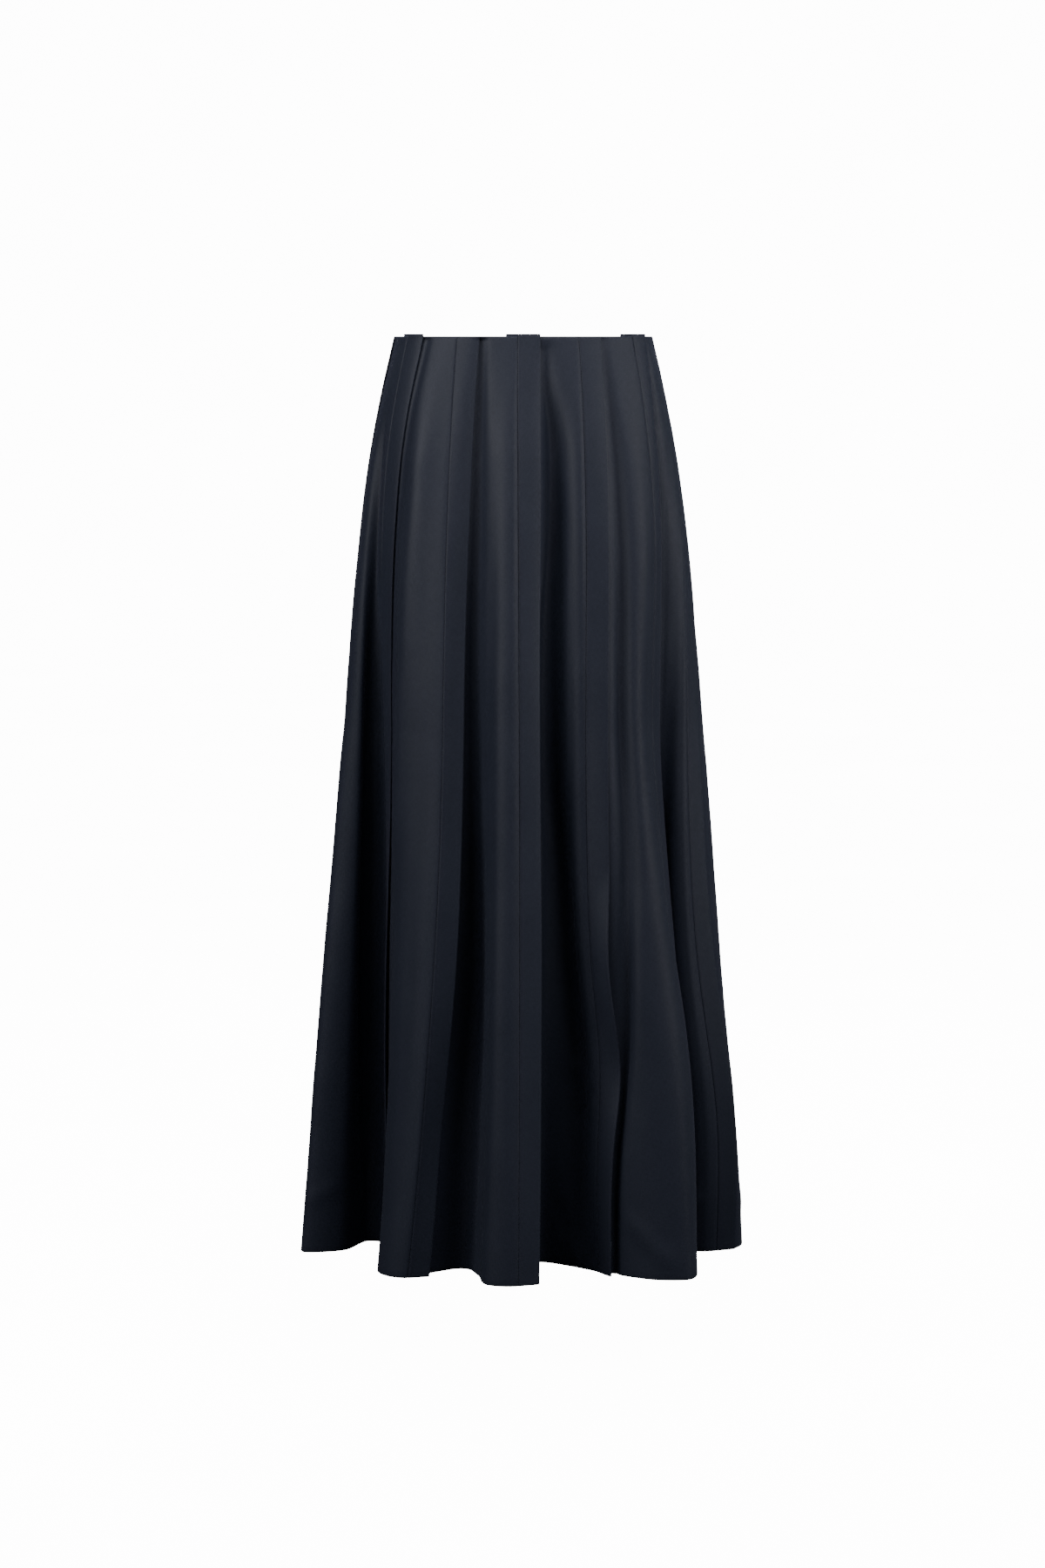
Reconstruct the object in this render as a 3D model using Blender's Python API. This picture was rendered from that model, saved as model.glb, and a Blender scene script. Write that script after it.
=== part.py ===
"""A pleated maxi skirt, worn, with no wearer: twelve flared gores hang from a fitted waist.

Every seam between two gores carries a narrow pleat. The left gore's edge is folded double and pressed
over the next gore, so that a seam line shows on the pleat's left and a free fold on its right. The cloth
hangs in deep flutes between the pleats. A concealed zip closes the centre back seam.

The frame: +Z up, -Y to the front, +X to the wearer's left. The origin is the middle of the waist
opening, level with its edge. Sizes are in millimetres and angles in degrees until a mesh is made.
"""

import math

import bpy
import numpy as np

MM = 0.001

# Driving sizes.
LENGTH = 947.0  # from the waist edge straight down to the hem
CLOTH = 1.6  # the wall of a gore
PLEAT_WIDTH = 22.5  # from the seam line to the pressed fold
PLEAT_CLOTH = 2.2  # the cloth folded double
SEAM_GAP = 0.4  # between pieces that are sewn together
TUCK_GAP = 0.4  # between a pleat and the gore it lies on
SEAM_UNDERLAP = 0.6  # how far a gore runs on under its neighbour's edge
RAISED_TOP = 2.4  # how far every second pleat stands above the waist edge
TUCK_DEPTH = PLEAT_CLOTH / 2 + TUCK_GAP + CLOTH / 2  # from a pleat's middle to the middle of the gore below

COLUMNS_PER_STRETCH = 3  # mesh columns between two named points of a gore's section
PLEAT_COLUMNS = 3
ROW_DROPS = (0, 14, 30, 65, 115, 180, 250, 330, 425, 530, 640, 745, 850, LENGTH)

ZIP_SEAM = 9  # the row of GORES whose seam the zip closes, at the centre back
ZIP_LENGTH = 180.0
ZIP_TAPE = (24.0, 0.6)  # width and thickness
ZIP_COIL = (3.4, 1.4)
ZIP_MOUTH = 1.0  # how far the seam stands open to each side of its line, round the slider
ZIP_MOUTH_DROPS = (14.0, 30.0)  # it is that open down to the first level, and closed from the second
ZIP_TAPE_DEPTH = TUCK_DEPTH + CLOTH / 2 + TUCK_GAP + ZIP_TAPE[1] / 2
ZIP_COIL_DEPTH = ZIP_TAPE_DEPTH + ZIP_TAPE[1] / 2 + SEAM_GAP + ZIP_COIL[1] / 2
SLIDER_DROPS = (3.0, 12.0)
SLIDER = (6.0, 2.2)  # width and thickness
SLIDER_NECK = (1.0, 3.0)  # thickness, and height
HINGE_DROP = 5.5
HINGE_OUT = 3.4  # from the seam line out to the hinge's axis
HINGE_BAR = (0.65, 4.6)  # radius and length
PULL_EYE = 1.6  # radius of the eyes round the bar
PULL_PLAY = 0.2
PULL = (4.6, 19.0, 0.9)  # width, length and thickness

# Each look: colour, roughness and metallic value.
CLOTH_LOOK = ((0.035, 0.040, 0.052, 1.0), 0.85, 0.0)
TAPE_LOOK = ((0.020, 0.022, 0.030, 1.0), 0.7, 0.0)
METAL_LOOK = ((0.050, 0.055, 0.065, 1.0), 0.35, 1.0)

# The form under the cloth, a row for each level: how far below the waist, and how far the crests of
# the cloth reach to each side, to the front and to the back.
SECTIONS = {
    "drop": (0, 50, 120, 200, 330, 500, 700, LENGTH),
    "side": (132.0, 143.5, 157.0, 168.5, 181.0, 194.0, 210.5, 230.0),
    "front": (94.0, 103.0, 116.0, 129.0, 146.0, 163.0, 183.0, 207.0),
    "back": (94.0, 107.0, 129.0, 148.0, 161.0, 172.0, 186.0, 207.0),
}
SQUARENESS = (2.45, 2.0)  # of the form seen from above, at the waist and at the hem: 2 is an ellipse

# The seams and the gore after each, from the wearer's right side round the front to the left side and
# the back. seam to shoulder are the places, seen from above, that the gore's hem passes: its seam, the
# point where it comes out from under the pleat, the way into the flute, the flute's bottom, and the
# shoulder of the next crest. knee is the seam's direction half way down, counted from the front, where
# it differs from the mean of waist and hem. lay is the direction of the pleat at the hem, counted from
# +X. top is where the flute starts, below the waist.
GORES = (
    {"name": "right_side", "seam": (-216, 32), "emerge": (-229, -12), "inward": (-231, -50),
     "flute": (-190, -44), "shoulder": (-160, 2), "knee": None, "lay": -106, "top": 150},
    {"name": "front_right_outer", "seam": (-141, -14), "emerge": (-139, -60), "inward": (-146, -110),
     "flute": (-147, -146), "shoulder": (-132, -164), "knee": -68.5, "lay": -82, "top": 90},
    {"name": "front_right", "seam": (-117, -168), "emerge": (-92, -145), "inward": (-62, -132),
     "flute": (-47, -158), "shoulder": (-36, -200), "knee": -25.8, "lay": 14, "top": 40},
    {"name": "centre_front", "seam": (-5, -204), "emerge": (11, -184), "inward": (6, -130),
     "flute": (16, -99), "shoulder": (49, -117), "knee": -1.2, "lay": 20, "top": 40},
    {"name": "front_left", "seam": (76, -143), "emerge": (96, -156), "inward": (137, -178),
     "flute": (167, -175), "shoulder": (174, -138), "knee": 21.9, "lay": -58, "top": 60},
    {"name": "front_left_outer", "seam": (161, -95), "emerge": (146, -46), "inward": (121, 0),
     "flute": (134, 12), "shoulder": (177, -40), "knee": 53, "lay": 103, "top": 60},
    {"name": "left_side", "seam": (196, -44), "emerge": (222, -30), "inward": (229, 6),
     "flute": (186, 36), "shoulder": (208, 60), "knee": 69, "lay": 25, "top": 120},
    {"name": "back_left_outer", "seam": (213, 73), "emerge": (191, 88), "inward": (155, 90),
     "flute": (128, 108), "shoulder": (142, 150), "knee": None, "lay": 115, "top": 90},
    {"name": "back_left", "seam": (122, 172), "emerge": (98, 170), "inward": (78, 138),
     "flute": (50, 134), "shoulder": (38, 188), "knee": None, "lay": 155, "top": 120},
    {"name": "centre_back", "seam": (10, 203), "emerge": (-15, 190), "inward": (-28, 135),
     "flute": (-58, 128), "shoulder": (-80, 186), "knee": None, "lay": 184, "top": 130},
    {"name": "back_right", "seam": (-103, 182), "emerge": (-118, 160), "inward": (-108, 112),
     "flute": (-130, 92), "shoulder": (-172, 130), "knee": None, "lay": 212, "top": 110},
    {"name": "back_right_outer", "seam": (-186, 112), "emerge": (-186, 88), "inward": (-150, 66),
     "flute": (-156, 40), "shoulder": (-204, 58), "knee": None, "lay": 244, "top": 100},
)
PLACES = ("seam", "emerge", "inward", "flute", "shoulder")
COUNT = len(GORES)
CENTRE_FRONT = 3  # the row whose seam lies next to the centre front
CENTRE_FRONT_ARC = -5.7  # that seam's place along the waist, from the centre front

# The free fold of one front pleat swings out over a short stretch: which pleat, how far down, over
# what height, and how far it turns.
FLUTTERS = (
    {"gore": 2, "drop": 790.0, "spread": 110.0, "turn": 20.0},
    {"gore": 4, "drop": 742.0, "spread": 45.0, "turn": 16.0},
    {"gore": 4, "drop": 625.0, "spread": 60.0, "turn": -11.0},
    {"gore": 4, "drop": 440.0, "spread": 120.0, "turn": 16.0},
)

# Where the cloth swings aside between waist and hem: the place round the skirt, as a row of GORES and
# a share of that gore's width, how far down, over what height and over how many gores, and the shift.
SWINGS = (
    {"place": 4.85, "drop": 770.0, "spread": 150.0, "gores": 0.45, "shift": (13.0, 0.0)},
    {"place": 4.85, "drop": 390.0, "spread": 130.0, "gores": 0.45, "shift": (-9.0, 0.0)},
    {"place": 4.0, "drop": 735.0, "spread": 90.0, "gores": 0.35, "shift": (8.0, 0.0)},
    {"place": 5.95, "drop": 810.0, "spread": 140.0, "gores": 0.3, "shift": (15.0, 0.0)},
    {"place": 1.9, "drop": 330.0, "spread": 160.0, "gores": 0.4, "shift": (-2.0, 0.0)},
)


def through(places, values, at):
    """A smooth curve through the values at those places, read at one place or at several."""
    x, y = np.asarray(places, float), np.asarray(values, float)
    slopes = np.gradient(y, x)
    at = np.asarray(at, float)
    i = np.clip(np.searchsorted(x, at, side="right") - 1, 0, len(x) - 2)
    width = x[i + 1] - x[i]
    t = (at - x[i]) / width
    return (
        y[i] * (1 + 2 * t) * (1 - t) ** 2
        + slopes[i] * width * t * (1 - t) ** 2
        + y[i + 1] * t * t * (3 - 2 * t)
        + slopes[i + 1] * width * t * t * (t - 1)
    )


def reach_at(side, drop):
    """How far the form reaches to one side at a level."""
    return through(SECTIONS["drop"], SECTIONS[side], drop)


def on_form(angle, share, drop):
    """The point at an angle from the front, in radians, at a share of the form's reach."""
    power = SQUARENESS[0] + (SQUARENESS[1] - SQUARENESS[0]) * min(1.0, drop / 400)
    share = share / (np.abs(np.sin(angle)) ** power + np.abs(np.cos(angle)) ** power) ** (1 / power)
    front, back = reach_at("front", drop), reach_at("back", drop)
    depth = (front + back) / 2 + (front - back) / 2 * np.cos(angle)
    return np.array([reach_at("side", drop) * share * np.sin(angle), -depth * share * np.cos(angle)])


def waist_angles(arcs):
    """The angles of places along the waist, given by their distance from the centre front."""
    angles = np.linspace(-math.pi, math.pi, 1441)
    points = on_form(angles, 1.0, 0.0).T
    along = np.concatenate([[0], np.cumsum(np.linalg.norm(np.diff(points, axis=0), axis=1))])
    round_it = along[-1]
    along -= np.interp(0.0, angles, along)
    turns = np.floor((np.asarray(arcs) + round_it / 2) / round_it)
    return np.interp(np.asarray(arcs) - turns * round_it, along, angles) + turns * 2 * math.pi, round_it


def unwound(angle, near):
    """The angle moved by whole turns to lie nearest another."""
    return angle + 2 * math.pi * round((near - angle) / (2 * math.pi))


def direction(angle):
    return np.array([math.cos(angle), math.sin(angle)])


def inward_of(heading):
    """The side of a heading that faces the wearer, as the ring runs anticlockwise from above."""
    return np.array([-heading[1], heading[0]])


def named_lines():
    """For each gore, its named lines from waist to hem: the angle at waist, knee and hem, the share of
    the form's reach at the hem, and the share of the gore's width."""
    hem_side, hem_front = SECTIONS["side"][-1], SECTIONS["front"][-1]
    _, waist = waist_angles(0.0)
    pitch = waist / COUNT
    lines = []
    for i, gore in enumerate(GORES):
        after = GORES[(i + 1) % COUNT]
        places = np.array([gore[p] for p in PLACES] + [after["seam"]], float)
        steps = np.linalg.norm(np.diff(places, axis=0), axis=1)
        shares = np.concatenate([[0], np.cumsum(steps)]) / steps.sum()
        arcs = CENTRE_FRONT_ARC + (i - CENTRE_FRONT + shares) * pitch
        at_waist, _ = waist_angles(arcs)
        x, y = places[:, 0] / hem_side, -places[:, 1] / hem_front
        at_hem = [unwound(math.atan2(a, b), w) for a, b, w in zip(x, y, at_waist)]
        lines.append({"waist": at_waist, "hem": np.array(at_hem), "share": np.hypot(x, y), "width": shares})
    for i, gore in enumerate(GORES):
        line, after = lines[i], lines[(i + 1) % COUNT]
        shifts = []
        for row, own in ((gore, line), (GORES[(i + 1) % COUNT], after)):
            mean = (own["waist"][0] + own["hem"][0]) / 2
            shifts.append(0.0 if row["knee"] is None else math.radians(row["knee"]) - mean)
        mean = (line["waist"] + line["hem"]) / 2
        line["knee"] = mean + shifts[0] + (shifts[1] - shifts[0]) * line["width"]
    return lines


LINES = named_lines()


def growth(gore, drop):
    """How much of its depth at the hem a flute has at a level."""
    top = gore["top"]
    return max(0.0, (drop - top) / (LENGTH - top))


def grown(i, width, drop):
    """The growth at a place across a gore: each seam follows its own row."""
    own, after = growth(GORES[i], drop), growth(GORES[(i + 1) % COUNT], drop)
    return own + (after - own) * max(0.0, width - 0.5) * 2


def line_point(i, j, drop):
    """Where named line j of gore i is at a level."""
    line, down = LINES[i], drop / LENGTH
    waist, knee, hem = line["waist"][j], line["knee"][j], line["hem"][j]
    angle = waist * (1 - down) * (1 - 2 * down) + knee * 4 * down * (1 - down) + hem * down * (2 * down - 1)
    share = 1 + (line["share"][j] - 1) * grown(i, line["width"][j], drop)
    point = on_form(angle, share, drop)
    for swing in SWINGS:
        across = (i + line["width"][j] - swing["place"] + COUNT / 2) % COUNT - COUNT / 2
        down_by = (drop - swing["drop"]) / swing["spread"]
        size = math.exp(-down_by * down_by - (across / swing["gores"]) ** 2)
        point = point + size * np.array(swing["shift"])
    return point, angle


def seam_at(i, drop):
    """(the seam's point, the heading of its pleat) at a level."""
    point, angle = line_point(i, 0, drop)
    ahead = on_form(angle + 0.01, 1.0, drop) - on_form(angle, 1.0, drop)
    along_form = math.atan2(ahead[1], ahead[0])
    at_hem = LINES[i]["hem"][0]
    ahead = on_form(at_hem + 0.01, 1.0, LENGTH) - on_form(at_hem, 1.0, LENGTH)
    along_hem = math.atan2(ahead[1], ahead[0])
    turn = unwound(math.radians(GORES[i]["lay"]), along_hem) - along_hem
    for flutter in FLUTTERS:
        if flutter["gore"] == i:
            away = (drop - flutter["drop"]) / flutter["spread"]
            turn += math.radians(flutter["turn"]) * math.exp(-away * away) / max(growth(GORES[i], drop), 0.2)
    return point, direction(along_form + turn * growth(GORES[i], drop))


def half_gap(i, drop):
    """How far from the seam line the cloth to each side of it ends."""
    if i != ZIP_SEAM:
        return SEAM_GAP / 2
    return float(np.interp(drop, ZIP_MOUTH_DROPS, (ZIP_MOUTH, SEAM_GAP / 2)))


def gore_section(i, drop, per_stretch):
    """The middle line of a gore at a level, from under its own pleat to the next seam."""
    seam, heading = seam_at(i, drop)
    next_seam, next_heading = seam_at((i + 1) % COUNT, drop)
    knots = [seam + inward_of(heading) * TUCK_DEPTH]
    for j in range(1, len(PLACES)):
        point, angle = line_point(i, j, drop)
        inset = TUCK_DEPTH * (1 - LINES[i]["width"][j])
        knots.append(point * (1 - inset / np.linalg.norm(point)))
    knots.append(next_seam - next_heading * half_gap((i + 1) % COUNT, drop))
    knots = np.array(knots)
    gaps = np.linalg.norm(np.diff(knots, axis=0), axis=1)
    places = np.concatenate([[0], np.cumsum(gaps)])
    slopes = np.gradient(knots, places, axis=0)
    slopes[0], slopes[-1] = heading, next_heading
    underlap = SEAM_UNDERLAP - (half_gap(i, drop) - SEAM_GAP / 2) * 1.7
    points = [knots[0] - heading * underlap]
    if underlap < 0:
        points, knots[0] = [knots[0] - heading * underlap], knots[0] + heading * (0.4 - underlap)
    for k, gap in enumerate(gaps):
        steps = [step / per_stretch for step in range(per_stretch)]
        if k == len(gaps) - 1:
            steps.append(1 - 0.4 / per_stretch)
        for t in steps:
            points.append(
                knots[k] * (1 + 2 * t) * (1 - t) ** 2
                + slopes[k] * gap * t * (1 - t) ** 2
                + knots[k + 1] * t * t * (3 - 2 * t)
                + slopes[k + 1] * gap * t * t * (t - 1)
            )
    points.append(knots[-1])
    return np.array(points)


def pleat_section(i, drop, columns):
    """The middle line of a pleat at a level: it follows the gore below near the waist and runs
    straight on from the gore before it near the hem."""
    seam, heading = seam_at(i, drop)
    below = gore_section(i, drop, COLUMNS_PER_STRETCH)[1:]
    along = np.concatenate([[0], np.cumsum(np.linalg.norm(np.diff(below, axis=0), axis=1))])
    follow = max(0.0, 1 - 1.6 * growth(GORES[i], drop))
    points = [seam + heading * half_gap(i, drop)]
    for step in range(1, columns + 1):
        across = half_gap(i, drop) + (PLEAT_WIDTH - half_gap(i, drop)) * step / columns
        here = np.array([np.interp(across, along, below[:, k]) for k in (0, 1)])
        ahead = np.array([np.interp(across + 1, along, below[:, k]) for k in (0, 1)])
        lifted = here - inward_of((ahead - here) / np.linalg.norm(ahead - here)) * TUCK_DEPTH
        straight = seam + heading * across
        falls_in = np.dot(lifted - straight, inward_of(heading)) > 0
        points.append(straight + (lifted - straight) * (follow if falls_in else 1.0))
    return np.array(points)


def plain_material(name, colour, roughness, metallic):
    material = bpy.data.materials.new(name)
    material.use_nodes = True
    shader = material.node_tree.nodes["Principled BSDF"]
    shader.inputs["Base Color"].default_value = colour
    shader.inputs["Roughness"].default_value = roughness
    shader.inputs["Metallic"].default_value = metallic
    return material


def make_wall(name, rows, drops, thickness, look):
    """A closed wall of cloth round the grid of rows, each a section at its own level."""
    points = [(x * MM, y * MM, -drop * MM) for row, drop in zip(rows, drops) for x, y in row]
    across = len(rows[0])
    faces = [
        (r * across + c, (r + 1) * across + c, (r + 1) * across + c + 1, r * across + c + 1)
        for r in range(len(rows) - 1)
        for c in range(across - 1)
    ]
    mesh = bpy.data.meshes.new(name)
    mesh.from_pydata(points, [], faces)
    mesh.materials.append(plain_material(name, *look))
    mesh.shade_smooth()
    wall = bpy.data.objects.new(name, mesh)
    bpy.context.scene.collection.objects.link(wall)
    thicken = wall.modifiers.new("thickness of the cloth", "SOLIDIFY")
    thicken.thickness = thickness * MM
    thicken.offset = 0.0
    return wall


def gore_name(i):
    return f"front_gore_{i + 1}" if i < COUNT // 2 else f"back_gore_{i + 1 - COUNT // 2}"


def make_gores():
    for i in range(COUNT):
        rows = [gore_section(i, drop, COLUMNS_PER_STRETCH) for drop in ROW_DROPS]
        make_wall(gore_name(i), rows, ROW_DROPS, CLOTH, CLOTH_LOOK)


def make_pleats():
    for i, gore in enumerate(GORES):
        rows = [pleat_section(i, drop, PLEAT_COLUMNS) for drop in ROW_DROPS]
        drops = (-RAISED_TOP if i % 2 else 0.0,) + ROW_DROPS[1:]
        make_wall("pleat_" + gore["name"], rows, drops, PLEAT_CLOTH, CLOTH_LOOK)


def wall_frame():
    """Where the slider sits: the hinge's origin, and the directions along the seam line's left, outward
    and up the cloth."""
    top, heading = seam_at(ZIP_SEAM, 0.0)
    low, _ = seam_at(ZIP_SEAM, 30.0)
    up = np.array([*(top - low), 30.0])
    up /= np.linalg.norm(up)
    side = np.array([*heading, 0.0])
    side -= up * np.dot(side, up)
    side /= np.linalg.norm(side)
    out = np.cross(up, side)
    if np.dot(out[:2], top) < 0:
        out = -out
    origin = np.array([*top, 0.0]) - up * HINGE_DROP + out * HINGE_OUT
    return origin, side, out, up


def strip_rows(drops, depth, half_width, columns):
    """A strip inside the zip's seam, at a depth from the seam line, a row for each level."""
    rows = []
    for drop in drops:
        seam, heading = seam_at(ZIP_SEAM, drop)
        across = np.linspace(-half_width, half_width, columns + 1)
        rows.append([seam + inward_of(heading) * depth + heading * a for a in across])
    return rows


def moved_in(section, places, depth):
    """Points at those distances along a section, from its start or back from its end, moved inward."""
    along = np.concatenate([[0], np.cumsum(np.linalg.norm(np.diff(section, axis=0), axis=1))])
    points = []
    for place in places:
        at = place if place > 0 else along[-1] + place
        here = np.array([np.interp(at, along, section[:, k]) for k in (0, 1)])
        ahead = np.array([np.interp(at + 0.5, along, section[:, k]) for k in (0, 1)])
        back = np.array([np.interp(at - 0.5, along, section[:, k]) for k in (0, 1)])
        points.append(here + inward_of((ahead - back) / np.linalg.norm(ahead - back)) * depth)
    return points


def joined(name, pieces, origin, axes):
    """One closed solid from several that overlap, given in the hinge's frame as lists of corners and
    faces, placed with its own origin on the hinge's axis."""
    made = []
    metal = plain_material(name, *METAL_LOOK)
    for points, faces in pieces:
        mesh = bpy.data.meshes.new(name)
        corners = [sum(v * a for v, a in zip(p, axes)) for p in points]
        mesh.from_pydata([tuple(c * MM) for c in corners], [], faces)
        mesh.materials.append(metal)
        item = bpy.data.objects.new(name, mesh)
        bpy.context.scene.collection.objects.link(item)
        made.append(item)
    first = made[0]
    for other in made[1:]:
        union = first.modifiers.new("join", "BOOLEAN")
        union.operation = "UNION"
        union.solver = "EXACT"
        union.object = other
    graph = bpy.context.evaluated_depsgraph_get()
    final = bpy.data.meshes.new_from_object(first.evaluated_get(graph))
    first.modifiers.clear()
    first.data = final
    for other in made[1:]:
        bpy.data.objects.remove(other, do_unlink=True)
    first.location = tuple(origin * MM)
    return first


def prism(outline, left, right):
    """A solid with that outline, given as (out, up), between two places along the hinge's axis."""
    n = len(outline)
    points = [(left, o, u) for o, u in outline] + [(right, o, u) for o, u in outline]
    faces = [tuple(range(n))[::-1], tuple(range(n, 2 * n))]
    faces += [(k, (k + 1) % n, (k + 1) % n + n, k + n) for k in range(n)]
    return points, faces


def ring_of(radius, count):
    turns = [2 * math.pi * k / count for k in range(count)]
    return [(radius * math.cos(t), radius * math.sin(t)) for t in turns]


def eye(left, right, outer, inner, count):
    """A round eye about the hinge's axis, with its bore."""
    rings = [[(x, o, u) for o, u in ring_of(r, count)] for x in (left, right) for r in (outer, inner)]
    points = [p for ring in rings for p in ring]
    faces = []
    for k in range(count):
        m = (k + 1) % count
        a, b, c, d = 0, count, 2 * count, 3 * count
        faces += [(a + m, a + k, b + k, b + m), (c + k, c + m, d + m, d + k)]
        faces += [(a + k, a + m, c + m, c + k), (b + m, b + k, d + k, d + m)]
    return points, faces


def make_zip():
    tape_drops = tuple(drop for drop in ROW_DROPS if drop <= ZIP_LENGTH)
    starts = (SEAM_GAP / 2 + 0.85, ZIP_TAPE[0] / 2)
    left_rows, right_rows = [], []
    for drop in tape_drops:
        before = gore_section(ZIP_SEAM - 1, drop, COLUMNS_PER_STRETCH)
        after = gore_section(ZIP_SEAM, drop, COLUMNS_PER_STRETCH)[1:]
        left_rows.append(moved_in(before, [-starts[1], -starts[1] / 2, -starts[0]], ZIP_TAPE_DEPTH))
        right_rows.append(moved_in(after, [starts[0], starts[1] / 2, starts[1]], ZIP_TAPE_DEPTH - TUCK_DEPTH))
    make_wall("zip_tape_left", left_rows, tape_drops, ZIP_TAPE[1], TAPE_LOOK)
    make_wall("zip_tape_right", right_rows, tape_drops, ZIP_TAPE[1], TAPE_LOOK)
    coil_drops = (SLIDER_DROPS[1] + 1.6,) + tape_drops[2:]
    rows = strip_rows(coil_drops, ZIP_COIL_DEPTH, ZIP_COIL[0] / 2, 2)
    make_wall("zip_coil", rows, coil_drops, ZIP_COIL[1], TAPE_LOOK)

    origin, side, out, up = wall_frame()
    axes = (side, out, up)
    inner = -HINGE_OUT - ZIP_COIL_DEPTH + ZIP_COIL[1] / 2
    low, high = HINGE_DROP - SLIDER_DROPS[1], HINGE_DROP - SLIDER_DROPS[0]
    body = [(inner - SLIDER[1], low), (inner, low), (inner, high), (inner - SLIDER[1], high)]
    neck_low, neck_high = -SLIDER_NECK[1] / 2, SLIDER_NECK[1] / 2
    neck = [(inner - 0.5, neck_low), (0.3, neck_low + 0.5), (0.3, neck_high - 1.0), (inner - 0.5, neck_high)]
    bar = ring_of(HINGE_BAR[0], 20)
    slider = (
        prism(body, -SLIDER[0] / 2, SLIDER[0] / 2),
        prism(neck, -SLIDER_NECK[0] / 2, SLIDER_NECK[0] / 2),
        prism(bar, -HINGE_BAR[1] / 2, HINGE_BAR[1] / 2),
    )
    joined("zip_slider", slider, origin, axes)
    near = SLIDER_NECK[0] / 2 + PULL_PLAY
    bore = HINGE_BAR[0] + PULL_PLAY
    wide = PULL[0] / 2
    plate = [(-0.45, -PULL[1]), (0.45, -PULL[1]), (0.45, -PULL_EYE - 0.3), (-0.45, -PULL_EYE - 0.3)]
    link = [(-0.45, -PULL_EYE - 0.6), (0.45, -PULL_EYE - 0.6), (0.45, -bore - 0.1), (-0.45, -bore - 0.1)]
    pull = (
        eye(near, wide, PULL_EYE, bore, 20),
        eye(-wide, -near, PULL_EYE, bore, 20),
        prism(link, near, wide),
        prism(link, -wide, -near),
        prism(plate, -wide, wide),
    )
    joined("zip_pull", pull, origin, axes)


def main():
    for old in list(bpy.data.objects):
        bpy.data.objects.remove(old, do_unlink=True)
    make_gores()
    make_pleats()
    make_zip()


main()
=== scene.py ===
import math
from functools import lru_cache

import bpy
import numpy as np
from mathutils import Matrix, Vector, noise


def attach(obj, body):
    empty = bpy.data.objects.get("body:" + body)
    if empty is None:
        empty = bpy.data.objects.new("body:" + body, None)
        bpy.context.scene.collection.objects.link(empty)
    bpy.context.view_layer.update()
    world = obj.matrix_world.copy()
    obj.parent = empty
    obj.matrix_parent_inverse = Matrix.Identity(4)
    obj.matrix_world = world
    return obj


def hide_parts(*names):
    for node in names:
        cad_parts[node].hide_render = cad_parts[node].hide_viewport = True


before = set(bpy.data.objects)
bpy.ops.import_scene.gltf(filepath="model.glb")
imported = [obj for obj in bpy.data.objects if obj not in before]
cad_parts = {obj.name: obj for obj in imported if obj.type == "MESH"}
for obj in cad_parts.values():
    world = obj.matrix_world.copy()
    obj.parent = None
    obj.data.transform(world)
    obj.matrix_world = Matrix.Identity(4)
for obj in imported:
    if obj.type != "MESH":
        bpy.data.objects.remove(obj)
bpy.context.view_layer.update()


# The cloth panels. Each is one flared gore of fine dark navy wool, cut in one with the pleat on its edge
# toward the viewer's right. The pleat is folded double, pressed over the next gore and stitched down along
# its seam line. The waist edge and the hem are turned in. Sizes are in millimetres, and angles in degrees.
LENGTH = 947.0
CLOTH = 0.6
FOLD_RADIUS = 0.55
TUCK_DEPTH = 2.1
SEAM_UNDERLAP = 1.2
RAISED_TOP = 2.4
TURN_IN = 1.25
SEAM_GROOVE = 0.7

# The form under the cloth: its reach to the side, the front and the back at each drop from the waist.
SECTIONS = {
    "drop": (0, 50, 120, 200, 330, 500, 700, LENGTH),
    "side": (132.0, 143.5, 157.0, 168.5, 181.0, 194.0, 210.5, 230.0),
    "front": (94.0, 103.0, 116.0, 129.0, 146.0, 163.0, 183.0, 207.0),
    "back": (94.0, 107.0, 129.0, 148.0, 161.0, 172.0, 186.0, 207.0),
}
# How square the form is at the waist and lower down, and the drop from which it is a plain oval.
SQUARENESS = (2.45, 2.0)
OVAL_FROM = 400.0
WAIST_STEPS = 1440

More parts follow.
